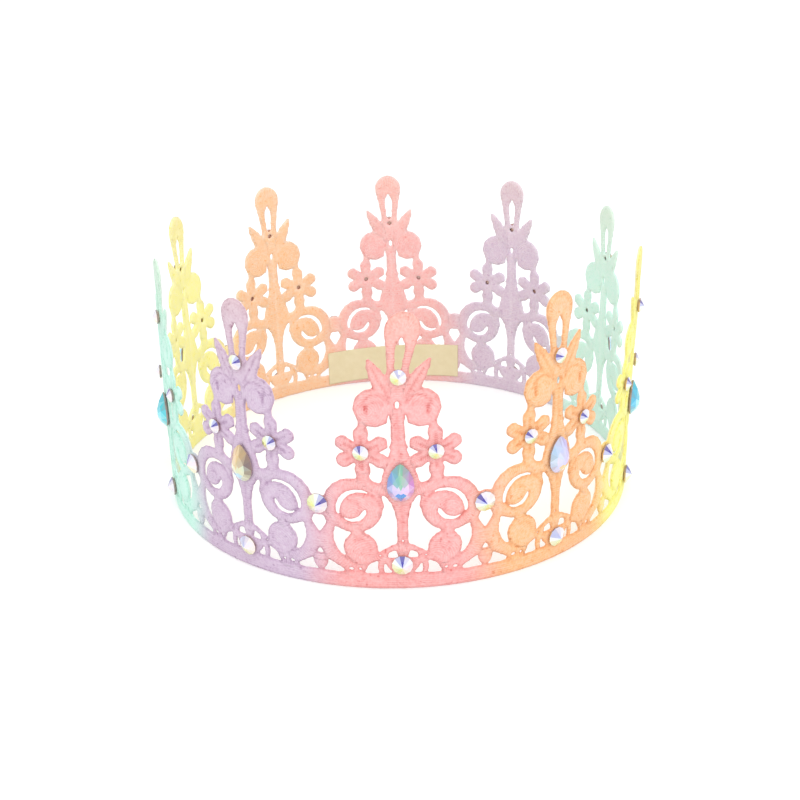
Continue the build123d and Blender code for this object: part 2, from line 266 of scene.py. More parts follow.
def leaf(s, z):
    """The pointed leaf beside the top stone: two bows on either side of its vein, each a half
    wave whose bulge lies nearer the root."""
    along, across = turned(s, z, LEAF_ROOT, 90 - LEAF_LEAN)
    share = np.clip(along / LEAF_LENGTH, 0, 1)
    half = LEAF_HALF * np.sin(np.pi * share ** 0.85) ** 0.72
    away = (np.abs(across) - half) * 0.93
    beyond = np.maximum(np.maximum(-along, along - LEAF_LENGTH), 0)
    yield np.where(beyond > 0, np.hypot(beyond, across), away), along - np.abs(across) * 1.2, 1.0


def openings(s, z):
    """The holes, slits and eyelets that are cut out of the strands."""
    yield to_outline(s, z, [(1.9, 11.1), (2.3, 12.6), (3.7, 12.4), (4.2, 10.9)]) - 0.45
    yield to_outline(s, z, [(3.3, 5.5), (5.7, 5.5), (5.5, 8.4)]) - 0.2
    yield to_crescent(s, z, COIL, COIL_SLIT_RADIUS, 1.5, 0.3, -13, 128)
    yield to_crescent(s, z, (15.03, 27.1), 4.1, 1.5, 0.3, 186, 312)
    yield to_strand(s, z, (0, 80.2), (0, 77.6), 0.7, 3.0)
    yield to_strand(s, z, (0, 77.6), (0, 71.3), 3.0, 1.9)
    yield to_disc(s, z, (0, 16.3), 0.55)
    yield to_strand(s, z, (0, 60.9), (0, 59.6), 1.1)
    yield to_strand(s, z, (2.6, 54.5), (2.3, 57.3), 0.9, 0.5)
    yield to_strand(s, z, (15.4, 6.4), (16.0, 6.4), 1.1)
    yield to_disc(s, z, (13.0, 6.5), 0.55)
    yield to_disc(s, z, (6.8, 11.3), 0.5)
    yield to_disc(s, z, FLOWER, EYELET_RADIUS)
    yield to_disc(s, z, TOP_STONE, EYELET_RADIUS)


def grooves(s, z):
    """The furrows between rows of stitches: their distance, half width and depth."""
    yield to_strand(s, z, (19.1, 25.5), (17.5, 23.8), 0), 0.45, 0.6
    yield to_arc(s, z, COIL, COIL_SLIT_RADIUS, 0, 128, 165), 0.4, 0.45
    yield to_strand(s, z, (8.85, 60.3), (8.7, 57.7), 0), 0.38, 1.0
    yield to_arc(s, z, (6.0, 59.6), 3.9, 0, 10, 160), 0.4, 0.5
    yield to_arc(s, z, (6.0, 59.0), 2.4, 0, 0, 150), 0.35, 0.3
    yield to_arc(s, z, (14.6, 27.6), 2.2, 0, 60, 230), 0.35, 0.3
    yield to_arc(s, z, LOOP, 3.6, 0, -20, 200), 0.35, 0.3
    yield np.abs(z - 5.35), 0.35, 0.3
    yield np.abs(z - 1.7), 0.3, 0.12
    yield np.abs(z - 3.4), 0.3, 0.12
    yield to_strand(s, z, (2.2, 62.6), (7.4, 71.8), 0), 0.34, 0.55
    yield to_arc(s, z, DISC, 3.1, 0, 60, 250), 0.4, 0.25
    for angle in PETAL_ANGLES:
        across, up = math.cos(math.radians(angle)), math.sin(math.radians(angle))
        tip = (FLOWER[0] + PETAL_VEIN * across, FLOWER[1] + PETAL_VEIN * up)
        yield to_strand(s, z, FLOWER, tip, 0), 0.42, 0.65


def mirrored(pattern, s, z, combine):
    """The pattern together with its reflections at the middle and at the junction."""
    here = pattern(np.abs(s), z)
    left = pattern(-np.abs(s), z)
    right = pattern(2 * HALF_PITCH - np.abs(s), z)
    return combine(combine(here, left), right)


def softened(field, times):
    """Each value becomes a quarter, a half and a quarter of its row and column neighbours."""
    for _ in range(times):
        padded = np.pad(field, 1, mode="edge")
        field = (padded[:-2, 1:-1] + 2 * padded[1:-1, 1:-1] + padded[2:, 1:-1]) / 4
        padded = np.pad(field, 1, mode="edge")
        field = (padded[1:-1, :-2] + 2 * padded[1:-1, 1:-1] + padded[1:-1, 2:]) / 4
    return field


def wobble(s, z, seed, shortest=2.0, longest=9.0):
    """The mean of sine waves in many directions, for the unevenness of hand guiding."""
    dice, waves = np.random.default_rng(seed), 14
    total = np.zeros(np.shape(s))
    for _ in range(waves):
        length, heading = dice.uniform(shortest, longest), dice.uniform(0, np.pi)
        start = dice.uniform(0, 6.3)
        along = s * np.cos(heading) + z * np.sin(heading)
        total = total + np.sin(along * 2 * np.pi / length + start)
    return total / waves


class Pattern:
    """The flat motif sampled on a fine grid: distance to its edge, padding and thread field."""

    STEP = 0.25
    MARGIN = 2.0
    FILLET = 0.9  # the blend where two strands meet
    RAGGED = 0.3  # how far the edge wanders in and out
    DOME = 1.5  # how far in from its edge a strand is padded to the full
    THREAD_DOME = 3.0  # the same for telling which of two strands has its threads on top

    def __init__(self):
        across = np.arange(-self.MARGIN, HALF_PITCH + self.MARGIN + self.STEP, self.STEP)
        up = np.arange(-self.MARGIN, CROWN_TOP + self.MARGIN + self.STEP, self.STEP)
        s, z = np.meshgrid(across, up)
        ragged = self.RAGGED * wobble(s, z, 3, 1.3, 2.6)
        self.edge = softened(self.outline(s, z), 2) + ragged
        crown = dome(-self.edge, self.DOME)
        self.padding = softened(0.55 * self.relief(s, z) + 0.45 * crown, 2)
        self.furrow = softened(self.furrows(s, z), 1)
        self.padding -= self.furrow

    def outline(self, s, z):
        """The union of all strands less the openings."""
        def union(along, height):
            total = None
            for away, _, _ in strands(along, height):
                total = away if total is None else joined(total, away, self.FILLET)
            return total

        def holes(along, height):
            total = np.full(along.shape, 1e9)
            for away in openings(along, height):
                total = np.minimum(total, away)
            return total
        solid = mirrored(union, s, z, np.minimum)
        solid = np.maximum(solid, -z)
        return np.maximum(solid, -mirrored(holes, s, z, np.minimum))

    def relief(self, s, z):
        """The highest of the strands' domes."""
        def highest(along, height):
            total = np.zeros(along.shape)
            for away, _, padding in strands(along, height):
                total = np.maximum(total, padding * dome(-away, self.DOME))
            return total
        return mirrored(highest, s, z, np.maximum)

    def furrows(self, s, z):
        """The deepest of the furrows, each of which falls off like a bell from its middle line."""
        def deepest(along, height):
            total = np.zeros(along.shape)
            for away, half, depth in grooves(along, height):
                total = np.maximum(total, depth * np.exp(-(away / half) ** 2))
            return total
        return mirrored(deepest, s, z, np.maximum)

    def read(self, field, s, z):
        """The sampled field between its grid points, with the reflections folded in."""
        folded = np.abs(s)
        column = (folded + self.MARGIN) / self.STEP
        row = (z + self.MARGIN) / self.STEP
        column = np.clip(column, 0, field.shape[1] - 1.001)
        row = np.clip(row, 0, field.shape[0] - 1.001)
        left, low = column.astype(int), row.astype(int)
        right_share, high_share = column - left, row - low
        lower = field[low, left] * (1 - right_share) + field[low, left + 1] * right_share
        upper = field[low + 1, left] * (1 - right_share) + field[low + 1, left + 1] * right_share
        return lower * (1 - high_share) + upper * high_share

    def distance(self, s, z):
        """The distance to the edge of the lace, below zero inside it."""
        return self.read(self.edge, s, z)

    def threads(self, s, z):
        """The thread field of the highest strand at each point, and how clearly it shows: less
        where another strand is as high and where the lines of the field crowd together."""
        step = 0.1
        field, margin = self.highest_field(s, z)
        slope_s = (self.highest_field(s + step, z)[0] - field) / step
        slope_z = (self.highest_field(s, z + step)[0] - field) / step
        crowding = np.clip(2.4 - np.hypot(slope_s, slope_z), 0, 1)
        return field, np.clip(margin / 0.15, 0, 1) * crowding

    def highest_field(self, s, z):
        """The thread field of the strand with the highest dome, and its lead over the second."""
        best, second, field = np.zeros(s.shape), np.zeros(s.shape), np.zeros(s.shape)
        for away, lines, padding in strands(np.abs(s), z):
            height = padding * dome(-away, self.THREAD_DOME)
            better = height > best
            second = np.where(better, best, np.maximum(second, height))
            best, field = np.where(better, height, best), np.where(better, lines, field)
        return field, best - second


def kept_cells(pattern, s, z):
    """The cells of the grid whose middle lies on lace, without two that touch only at a corner."""
    middle_s = (s[:-1, :-1] + s[1:, 1:]) / 2
    middle_z = (z[:-1, :-1] + z[1:, 1:]) / 2
    kept = pattern.distance(middle_s, middle_z) < 0
    for _ in range(3):
        low_left, low_right = kept[:-1, :-1], kept[:-1, 1:]
        high_left, high_right = kept[1:, :-1], kept[1:, 1:]
        pinch = (low_left & high_right & ~low_right & ~high_left) | (
            low_right & high_left & ~low_left & ~high_right)
        for corner in (low_left, low_right, high_left, high_right):
            corner |= pinch
    return kept


def fitted_grid(pattern, cell):
    """A grid whose outer nodes are moved along the slope of the distance onto the edge of the
    pattern."""
    columns = 2 * round(HALF_PITCH / cell)
    rows = math.ceil((CROWN_TOP + 1) / cell)
    across = np.linspace(-HALF_PITCH, HALF_PITCH, columns + 1)
    s, z = np.meshgrid(across, np.arange(rows + 1) * cell)
    kept = kept_cells(pattern, s, z)
    wide = np.pad(kept, ((1, 1), (0, 0)))
    wide = np.concatenate([wide[:, :1], wide, wide[:, -1:]], axis=1)
    count = (wide[:-1, :-1].astype(int) + wide[:-1, 1:] + wide[1:, :-1] + wide[1:, 1:])
    used, inner = count > 0, count == 4
    rim = used & ~inner
    on_cut = np.zeros(s.shape, bool)
    on_cut[:, [0, -1]] = True
    near = np.pad(rim, 1)
    near = (near[:-2, 1:-1] | near[2:, 1:-1] | near[1:-1, :-2] | near[1:-1, 2:]) & inner & ~on_cut
    first_s = s.copy()
    for step in range(7):
        for _ in range(2):
            s[rim], z[rim] = onto_edge(pattern, s[rim], z[rim], 0.6 * cell)
        s[on_cut] = first_s[on_cut]
        if step < 6:
            s, z = eased(s, z, used, rim, near, on_cut)
    z[0, :] = 0
    return s, z, kept


def onto_edge(pattern, s, z, most):
    """Points moved by their distance against its slope, no further than most."""
    small = 0.2
    away = pattern.distance(s, z)
    slope_s = (pattern.distance(s + small, z) - pattern.distance(s - small, z)) / (2 * small)
    slope_z = (pattern.distance(s, z + small) - pattern.distance(s, z - small)) / (2 * small)
    steep = np.maximum(slope_s ** 2 + slope_z ** 2, 0.15)
    move = np.clip(away / steep, -most, most)
    return s - move * slope_s, z - move * slope_z


def eased(s, z, used, rim, near, on_cut):
    """Rim nodes move towards their neighbours on the rim, and the nodes beside them towards all."""
    def average(mask, of):
        """The mean place of those of the four neighbours that are in the second mask."""
        total_s, total_z, count = np.zeros(s.shape), np.zeros(s.shape), np.zeros(s.shape)
        for shift, axis in ((1, 0), (-1, 0), (1, 1), (-1, 1)):
            valid = np.roll(of, shift, axis)
            edge = 0 if shift == 1 else -1
            if axis == 0:
                valid[edge, :] = False
            else:
                valid[:, edge] = False
            total_s += np.where(valid, np.roll(s, shift, axis), 0)
            total_z += np.where(valid, np.roll(z, shift, axis), 0)
            count += valid
        ready = mask & (count >= 2)
        count = np.maximum(count, 1)
        return ready, total_s / count, total_z / count
    on_rim, rim_s, rim_z = average(rim & ~on_cut, rim)
    beside, all_s, all_z = average(near, used)
    s, z = s.copy(), z.copy()
    s[on_rim] += 0.35 * (rim_s - s)[on_rim]
    z[on_rim] += 0.35 * (rim_z - z)[on_rim]
    s[beside] += 0.5 * (all_s - s)[beside]
    z[beside] += 0.5 * (all_z - z)[beside]
    return s, z


def bend(table, number, z):
    """The motif's row of the table between its heights, averaged over nine millimetres."""
    heights = np.arange(-10, 101.0)
    values = np.interp(heights, BEND_HEIGHTS, table[number])
    smooth = np.convolve(np.pad(values, 4, mode="edge"), np.full(9, 1 / 9), "valid")
    return np.interp(z, heights, smooth)


def on_ring(s, z, offset, turn):
    """Pattern coordinates bent round the ring: the angle is the arc length over the radius."""
    angle = s / RING + turn
    radius = (RING + offset) * MM
    return np.stack([radius * np.sin(angle), -radius * np.cos(angle), z * MM], axis=-1)


def new_piece(name, points, faces, material, smooth=True):
    """A mesh object at the origin that rides on the crown's one body."""
    mesh = bpy.data.meshes.new(name)
    mesh.from_pydata(np.asarray(points).tolist(), [], [list(face) for face in faces])
    mesh.materials.append(material)
    mesh.polygons.foreach_set("use_smooth", np.full(len(mesh.polygons), smooth))
    mesh.update()
    piece = bpy.data.objects.new(name, mesh)
    bpy.context.scene.collection.objects.link(piece)
    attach(piece, "root")
    return piece


def two_sided_map(mesh, name, first, second):
    """Two values of each point of the outside as a UV map, and the same behind it on the inside."""
    vertex = np.zeros(len(mesh.loops), int)
    mesh.loops.foreach_get("vertex_index", vertex)
    pairs = np.tile(np.stack([first, second], axis=1), (2, 1))[vertex]
    mesh.uv_layers.new(name=name).data.foreach_set("uv", pairs.astype(np.float32).ravel())


class LaceMesh:
    """The closed quad mesh of one motif, ready to be bent round the ring at any place."""

    EDGE_ROUND = 0.8  # how far in from the edge the front and the back are rounded
    THIN = 0.3  # of the thickness is left at the edge

    def __init__(self, sizes):
        pattern = Pattern()
        s, z, kept = fitted_grid(pattern, sizes.cell / MM)
        number = np.full(s.shape, -1)
        corners = [np.pad(kept, ((0, 1), (0, 1))), np.pad(kept, ((0, 1), (1, 0))),
                   np.pad(kept, ((1, 0), (1, 0))), np.pad(kept, ((1, 0), (0, 1)))]
        used = corners[0] | corners[1] | corners[2] | corners[3]
        number[used] = np.arange(used.sum())
        self.count = int(used.sum())
        self.s, self.z = s[used], z[used]
        cells = np.stack([number[:-1, :-1][kept], number[:-1, 1:][kept],
                          number[1:, 1:][kept], number[1:, :-1][kept]], axis=1)
        self.faces = [cells, cells[:, ::-1] + self.count]
        self.close_edges(kept, number)
        self.depth = np.clip(-pattern.distance(self.s, self.z), 0, None)
        round_edge = dome(self.depth, self.EDGE_ROUND)
        relief = np.clip(pattern.read(pattern.padding, self.s, self.z), -0.4, 1)
        half = sizes.thickness / MM / 2
        self.relief = round_edge * relief
        self.furrow = np.clip(pattern.read(pattern.furrow, self.s, self.z), 0, 1)
        swell = 1 - self.THIN
        self.front = half * (self.THIN + swell * self.relief)
        self.back = -half * (self.THIN + swell * round_edge * (0.75 + 0.25 * relief))
        self.threads, self.clear = pattern.threads(self.s, self.z)

    def close_edges(self, kept, number):
        """A wall of quads wherever a kept cell has no neighbour."""
        wide = np.pad(kept, 1)
        low = kept & ~wide[:-2, 1:-1]
        high = kept & ~wide[2:, 1:-1]
        left = kept & ~wide[1:-1, :-2]
        right = kept & ~wide[1:-1, 2:]
        pairs = [
            (number[:-1, :-1][low], number[:-1, 1:][low]),
            (number[1:, 1:][high], number[1:, :-1][high]),
            (number[1:, :-1][left], number[:-1, :-1][left]),
            (number[:-1, 1:][right], number[1:, 1:][right]),
        ]
        start = np.concatenate([pair[0] for pair in pairs])
        end = np.concatenate([pair[1] for pair in pairs])
        self.faces.append(np.stack([end, start, start + self.count, end + self.count], axis=1))

    def piece(self, number, material, sizes):
        """The motif at its place in the ring, a little uneven so that no two are quite alike."""
        turn = math.radians(MOTIF_ANGLE * number)
        along = self.s + HALF_PITCH * 2 * number
        total = 2 * HALF_PITCH * MOTIFS
        way_round = 2 * np.pi * along / total
        uneven = wobble(np.cos(way_round) * 60, np.sin(way_round) * 60 + self.z, 5)
        swayed = self.s + sizes.unevenness * bend(SWAY, number, self.z)
        leant = sizes.unevenness * bend(LEAN, number, self.z)
        face = leant + self.front + 0.05 * uneven * (self.depth > 0.2)
        front = on_ring(swayed, self.z, face, turn)
        back = on_ring(swayed, self.z, leant + self.back, turn)
        points = np.concatenate([front, back])
        faces = np.concatenate(self.faces)
        piece = new_piece(f"lace_motif_{number + 1}", points, faces.tolist(), material)
        self.attach(piece.data)
        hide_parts("lace_band")

    def attach(self, mesh):
        """The thread field as a UV map, the padding and the furrows as attributes of each point,
        from which the material paints shade and highlight. On the inside the padding runs from 2
        down, so that the material knows the two sides apart and paints the inside paler as painted
        light, with a fainter painted shade in its furrows. The edges at the two cuts are sharp, so
        that the shading runs on into the next motif."""
        # The inside's values carry painted light: a paler inside and a fainter painted shade in its
        # furrows.
        relief = np.concatenate([self.relief, 2.0 - 0.75 * self.relief])
        furrow = np.concatenate([self.furrow, 0.15 * self.furrow])
        at_cut = np.tile(np.isclose(np.abs(self.s), HALF_PITCH), 2)
        ends = np.zeros(2 * len(mesh.edges), int)
        mesh.edges.foreach_get("vertices", ends)
        mesh.edges.foreach_set("use_edge_sharp", at_cut[ends.reshape(-1, 2)].all(axis=1))
        two_sided_map(mesh, "threads", self.threads, self.clear)
        for name, values in (("padding", relief), ("furrow", furrow)):
            layer = mesh.attributes.new(name, "FLOAT", "POINT")
            layer.data.foreach_set("value", values.astype(np.float32))


# Materials

CREAM = srgb(243, 204, 165)
WARP_PITCH = 0.5
WEFT_PITCH = 0.42


class Nodes:
    """A short way to place and join the nodes of one material."""

    def __init__(self, name):
        self.material = bpy.data.materials.new(name)
        self.material.use_nodes = True
        self.tree = self.material.node_tree
        self.shader = self.tree.nodes["Principled BSDF"]

    def add(self, kind, **settings):
        """A new node with these settings."""
        node = self.tree.nodes.new(kind)
        for key, value in settings.items():
            setattr(node, key, value)
        return node

    def join(self, output, target):
        """A link from an output to an input."""
        self.tree.links.new(output, target)

    def feed(self, node, index, value):
        """A link where the value is an output, and otherwise the input's own value."""
        if isinstance(value, bpy.types.NodeSocket):
            self.join(value, node.inputs[index])
        elif value is not None:
            node.inputs[index].default_value = value

    def place(self):
        """The point on the piece, in the piece's own coordinates."""
        return self.add("ShaderNodeTexCoord").outputs["Object"]

    def parts(self, vector):
        """The outputs X, Y and Z of a vector."""
        node = self.add("ShaderNodeSeparateXYZ")
        self.join(vector, node.inputs[0])
        return node.outputs

    def attribute(self, name, output="Fac"):
        """What the mesh stores under this name."""
        return self.add("ShaderNodeAttribute", attribute_name=name).outputs[output]

    def math(self, operation, first, second=None, third=None):
        """The operation on up to three values."""
        node = self.add("ShaderNodeMath", operation=operation)
        for index, value in enumerate((first, second, third)):
            self.feed(node, index, value)
        return node.outputs[0]

    def scale(self, value, low, high, to_low, to_high):
        """The value carried from one range to another, and held at its ends."""
        node = self.add("ShaderNodeMapRange")
        for index, item in enumerate((value, low, high, to_low, to_high)):
            self.feed(node, index, item)
        return node.outputs[0]

    def blend(self, kind, factor, first, second):
        """Two colours mixed or multiplied."""
        node = self.add("ShaderNodeMix", data_type="RGBA", blend_type=kind)
        for index, value in ((0, factor), (6, first), (7, second)):
            self.feed(node, index, value)
        return node.outputs[2]

    def noise(self, vector, scale, detail=3.0):
        """Soft noise about a half, with as many lumps to the metre as the scale says."""
        node = self.add("ShaderNodeTexNoise")
        self.join(vector, node.inputs["Vector"])
        node.inputs["Scale"].default_value = scale
        node.inputs["Detail"].default_value = detail
        return node.outputs["Fac"]

    def emboss(self, height, strength, distance):
        """The height as a bump on the shader."""
        node = self.add("ShaderNodeBump")
        node.inputs["Strength"].default_value = strength
        node.inputs["Distance"].default_value = distance
        self.join(height, node.inputs["Height"])
        self.join(node.outputs["Normal"], self.shader.inputs["Normal"])


def dyed_bays(nodes, place, dye):
    """Ten soft-edged bays of dye that follow the angle round the axis, with a little drift. The
    tips are faded towards a warm cream."""
    axes = nodes.parts(place)
    angle = nodes.math("ARCTAN2", axes["X"], nodes.math("MULTIPLY", axes["Y"], -1.0))
    share = nodes.scale(angle, -math.pi, math.pi, 0.0, 1.0)
    drift = nodes.math("MULTIPLY_ADD", nodes.noise(place, 45.0), 0.02, -0.01)
    share = nodes.math("ADD", share, drift)
    ramp = nodes.add("ShaderNodeValToRGB")
    nodes.join(nodes.math("FRACT", nodes.math("ADD", share, 1.0)), ramp.inputs[0])
    ramp.color_ramp.interpolation = "EASE"
    colours = [dye.pink, dye.peach, dye.yellow, dye.mint, dye.lavender]
    even = 0.031  # of the way round keeps its colour on either side of a motif's middle
    stops = [(even, 0), *((bay / MOTIFS + side * even, bay % 5)
                          for bay in range(1, MOTIFS) for side in (-1, 1)), (1 - even, 0)]
    elements = ramp.color_ramp.elements
    elements[0].position, elements[0].color = 0.0, (*colours[0], 1)
    elements[1].position, elements[1].color = 1.0, (*colours[0], 1)
    for position, colour in stops:
        elements.new(position).color = (*colours[colour], 1)
    faded = nodes.scale(axes["Z"], 0.06, 0.088, 0.0, 0.26)
    return nodes.blend("MIX", faded, ramp.outputs[0], (*CREAM, 1))


def rows_of_stitches(nodes, place, pitch):
    """A sine of the thread field over the pitch, wavy and stronger in some places than others,
    and even where the field isn't clear."""
    field = nodes.parts(nodes.add("ShaderNodeUVMap", uv_map="threads").outputs[0])
    wavy = nodes.math("MULTIPLY_ADD", nodes.noise(place, 260.0, 2.0), 1.1, field["X"])
    stitch = nodes.math("SINE", nodes.math("MULTIPLY", wavy, 2 * math.pi / pitch))
    uneven = nodes.scale(nodes.noise(place, 140.0, 1.0), 0.35, 0.6, 0.25, 1.0)
    amount = nodes.math("MULTIPLY", field["Y"], uneven)
    return nodes.math("MULTIPLY_ADD", nodes.math("MULTIPLY", stitch, amount), 0.5, 0.5)


def dyed_thread(dye, sizes):
    """Matt polyester thread in bays of dye, darker in needle pricks and mottled in specks and
    clouds, with painted shade in the furrows, at the edges, on the low strands and between the rows
    of stitches, a painted highlight on the crests, and the inside painted paler as painted light."""
    nodes = Nodes("dyed_thread")
    place = nodes.place()
    dyed = dyed_bays(nodes, place, dye)
    stitch = rows_of_stitches(nodes, place, sizes.thread_pitch / MM)
    speck = nodes.noise(place, 1300.0, 2.0)
    cloud = nodes.noise(place, 420.0, 2.0)
    prick = nodes.noise(place, 850.0, 0.0)
    # Painted shade and highlight from the padding: deeper at the edges and on the low strands,
    # paler on the crests, and paler all over the inside, whose padding runs from 2 down, as painted
    # light.
    painted_light_and_mottle = nodes.scale(nodes.attribute("padding"), 0.0, 2.0, -0.3, 0.7)
    # Painted shade in the furrows.
    painted_light_and_mottle = nodes.math("MULTIPLY_ADD", nodes.attribute("furrow"), -0.75, painted_light_and_mottle)
    # Painted shade in the dips between the rows of stitches and painted highlight on their tops.
    painted_light_and_mottle = nodes.math("ADD", painted_light_and_mottle, nodes.scale(stitch, 0.0, 1.0, -0.16, 0.12))
    # Specks, clouds and needle pricks are the thread's own uneven tone.
    painted_light_and_mottle = nodes.math("ADD", painted_light_and_mottle, nodes.scale(speck, 0.35, 0.65, -0.2, 0.18))
    painted_light_and_mottle = nodes.math("ADD", painted_light_and_mottle, nodes.scale(cloud, 0.35, 0.65, -0.1, 0.1))
    painted_light_and_mottle = nodes.math("SUBTRACT", painted_light_and_mottle, nodes.scale(prick, 0.72, 0.8, 0.0, 0.5))
    # The painted highlight mixes the dye towards white, and the painted shade darkens and deepens
    # it.
    pale = nodes.blend("MIX", 0.45, dyed, (1, 1, 1, 1))
    shade = nodes.blend("MULTIPLY", 1.0, dyed, (0.82, 0.82, 0.82, 1))
    deep = nodes.blend("MULTIPLY", 1.0, dyed, shade)
    colour = nodes.blend("MIX", nodes.scale(painted_light_and_mottle, 0.0, 1.0, 0.0, 1.0), dyed, pale)
    colour = nodes.blend("MIX", nodes.scale(painted_light_and_mottle, -1.0, 0.0, 1.0, 0.0), colour, deep)
    nodes.join(colour, nodes.shader.inputs["Base Color"])
    nodes.join(nodes.scale(stitch, 0.0, 1.0, 0.92, 0.74), nodes.shader.inputs["Roughness"])
    nodes.shader.inputs["Specular IOR Level"].default_value = 0.35
    nodes.shader.inputs["Sheen Weight"].default_value = 0.12
    nodes.shader.inputs["Sheen Roughness"].default_value = 0.5
    ridges = nodes.math("MULTIPLY", stitch, sizes.thread_depth / MM * 8)
    nodes.emboss(nodes.math("MULTIPLY_ADD", speck, 0.6, ridges), 0.55, 0.00018)
    return nodes.material


def woven_tape(colour):
    """Undyed woven tape: warp and weft cross on the piece's own UV map, in turn over and under."""
    nodes = Nodes("woven_tape")
    place = nodes.place()
    threads = nodes.parts(nodes.add("ShaderNodeUVMap", uv_map="weave").outputs[0])
    warp = nodes.math("SINE", nodes.math("MULTIPLY", threads["X"], 2 * math.pi / WARP_PITCH))
    weft = nodes.math("SINE", nodes.math("MULTIPLY", threads["Y"], 2 * math.pi / WEFT_PITCH))
    weave = nodes.math("MULTIPLY", warp, weft)
    slub = nodes.noise(place, 320.0)
    cloud = nodes.noise(place, 60.0)
    dark = nodes.blend("MULTIPLY", 1.0, (*colour, 1), (0.86, 0.82, 0.7, 1))
    shade = nodes.math("MULTIPLY_ADD", weave, 0.12, nodes.scale(slub, 0.3, 0.7, 0.05, 0.45))
    tape = nodes.blend("MIX", shade, (*colour, 1), dark)
    tape = nodes.blend("MIX", nodes.scale(cloud, 0.35, 0.65, 0.0, 0.22), tape, dark)
    nodes.join(tape, nodes.shader.inputs["Base Color"])
    nodes.join(nodes.scale(weave, -1.0, 1.0, 0.9, 0.66), nodes.shader.inputs["Roughness"])
    nodes.shader.inputs["Sheen Weight"].default_value = 0.1
    nodes.shader.inputs["Specular IOR Level"].default_value = 0.4
    nodes.emboss(nodes.math("MULTIPLY_ADD", slub, 0.5, weave), 0.5, 0.00008)
    return nodes.material


def coated_crystal(name, roughness):
    """Foil-backed glass with a rainbow coating: each facet carries as its colour a painted
    reflection, the tint that it would send back, a little warmer and cooler in patches."""
    nodes = Nodes(name)
    # The tint attribute holds each facet's painted reflection and painted shade.
    tint = nodes.attribute("tint", "Color")
    depth = nodes.noise(nodes.place(), 420.0, 1.0)
    warm = nodes.blend("MULTIPLY", 1.0, tint, (1.0, 0.97, 0.9, 1))
    cool = nodes.blend("MULTIPLY", 1.0, tint, (0.9, 0.96, 1.0, 1))
    colour = nodes.blend("MIX", nodes.scale(depth, 0.4, 0.6, 0.0, 1.0), warm, cool)
    nodes.join(colour, nodes.shader.inputs["Base Color"])
    nodes.shader.inputs["Metallic"].default_value = 0.25
    nodes.shader.inputs["Roughness"].default_value = roughness
    nodes.shader.inputs["Coat Weight"].default_value = 1.0
    nodes.shader.inputs["Coat Roughness"].default_value = 0.02
    nodes.shader.inputs["Coat IOR"].default_value = 1.6
    return nodes.material


# Stones, with their sizes in millimetres

FOIL = srgb(160, 138, 134)
GLUE = srgb(214, 178, 166)
# A painted golden glint on the lower left of a round stone's girdle.
GOLDEN_GLINT = srgb(214, 178, 104)
STONE_BACK = 0.62  # from the middle of the lace out to the backs of the stones
GIRDLE = 0.78  # height of the crown's foot above the back of a round stone
PEAR_GIRDLE = 0.9

# The painted reflections of a round stone's wedges, clockwise from the dark one.
WEDGE_REFLECTIONS = [
    srgb(66, 56, 172), srgb(226, 220, 247), srgb(246, 240, 252), srgb(250, 232, 246),
    srgb(252, 244, 248), srgb(253, 240, 214), srgb(248, 240, 168), srgb(238, 238, 140),
    srgb(234, 242, 172), srgb(238, 246, 210), srgb(246, 250, 250), srgb(192, 194, 234),
]

# The colours of a pear stone, its glass hue with painted shade and painted reflection: its point,
# its left and right sides, the right of the violet and amber ones in painted shade, its belly and
# its low patch, a painted reflection.
PEAR_HUES_AND_PAINTED_LIGHT = {
    "green": (srgb(110, 196, 156), srgb(112, 152, 236), srgb(210, 120, 212),
              srgb(238, 210, 246), srgb(56, 150, 234)),
    "violet": (srgb(206, 200, 242), srgb(186, 222, 248), srgb(146, 92, 204),
               srgb(226, 206, 246), srgb(248, 212, 150)),
    "amber": (srgb(228, 198, 140), srgb(240, 184, 126), srgb(104, 78, 76),
              srgb(238, 246, 208), srgb(190, 228, 246)),
    "aqua": (srgb(40, 190, 206), srgb(64, 190, 234), srgb(60, 216, 228),
             srgb(150, 238, 242), srgb(40, 168, 222)),
}
PEARS = ("green", "violet", "aqua", "aqua", "violet", "green", "violet", "aqua", "aqua", "amber")

# How far the front stones are glued from the middle of their seats, along and up.
GLUED = {
    ("base_stone", 0): (-0.3, 0.8), ("junction_stone", 0): (-0.6, 0.2),
    ("junction_stone", 9): (0.2, 1.0), ("flower_stones", 0): (-0.1, 0.3),
    ("top_stone", 0): (0.2, 0.5),
}

# How far clockwise from the top the dark wedge of a stone, a painted reflection, is turned, in
# degrees, and the stones that have none.
TURNED = {
    ("base_stone", 0): 0, ("junction_stone", 0): -42, ("junction_stone", 9): 58,
    ("top_stone", 0): 15, ("top_stone", 1): -78, ("top_stone", 9): 64,
    ("flower_stones", 0): -12, ("flower_stones", 1): -48, ("flower_stones", 9): 54,
}
CLEAR = {("top_stone", 0), ("base_stone", 1), ("base_stone", 9)}


def stone_frame(number, along, up, unevenness):
    """Where a stone sits: right, up and outwards at its place on the outside of the lace, which
    may be swayed and leant there."""
    below, lean, above = unevenness * bend(LEAN, number, np.array([up - 1, up, up + 1]))
    sway = unevenness * bend(SWAY, number, up)
    angle = math.radians(MOTIF_ANGLE * number) + (along + sway) / RING
    out = np.array([math.sin(angle), -math.cos(angle), 0.0])
    right = np.array([math.cos(angle), math.sin(angle), 0.0])
    tilt = math.atan((above - below) / 2)
    rise = np.array([0, 0, math.cos(tilt)]) + out * math.sin(tilt)
    place = out * (RING + lean) * MM + np.array([0, 0, up * MM])
    out = np.cross(right, rise)
    return place + out * STONE_BACK * MM, right, rise, out


def place_stone(shape, seat):
    """Local points of right, up and out, in millimetres, set in the stone's frame."""
    origin, right, up, out = seat
    points = np.asarray(shape) * MM
    return origin + points[:, :1] * right + points[:, 1:2] * up + points[:, 2:] * out


def ring_faces(first, second, count):
    """Quads between two rings of points, each ring running counter-clockwise."""
    step = np.arange(count)
    after = (step + 1) % count
    return np.stack([first + step, first + after, second + after, second + step], axis=1).tolist()


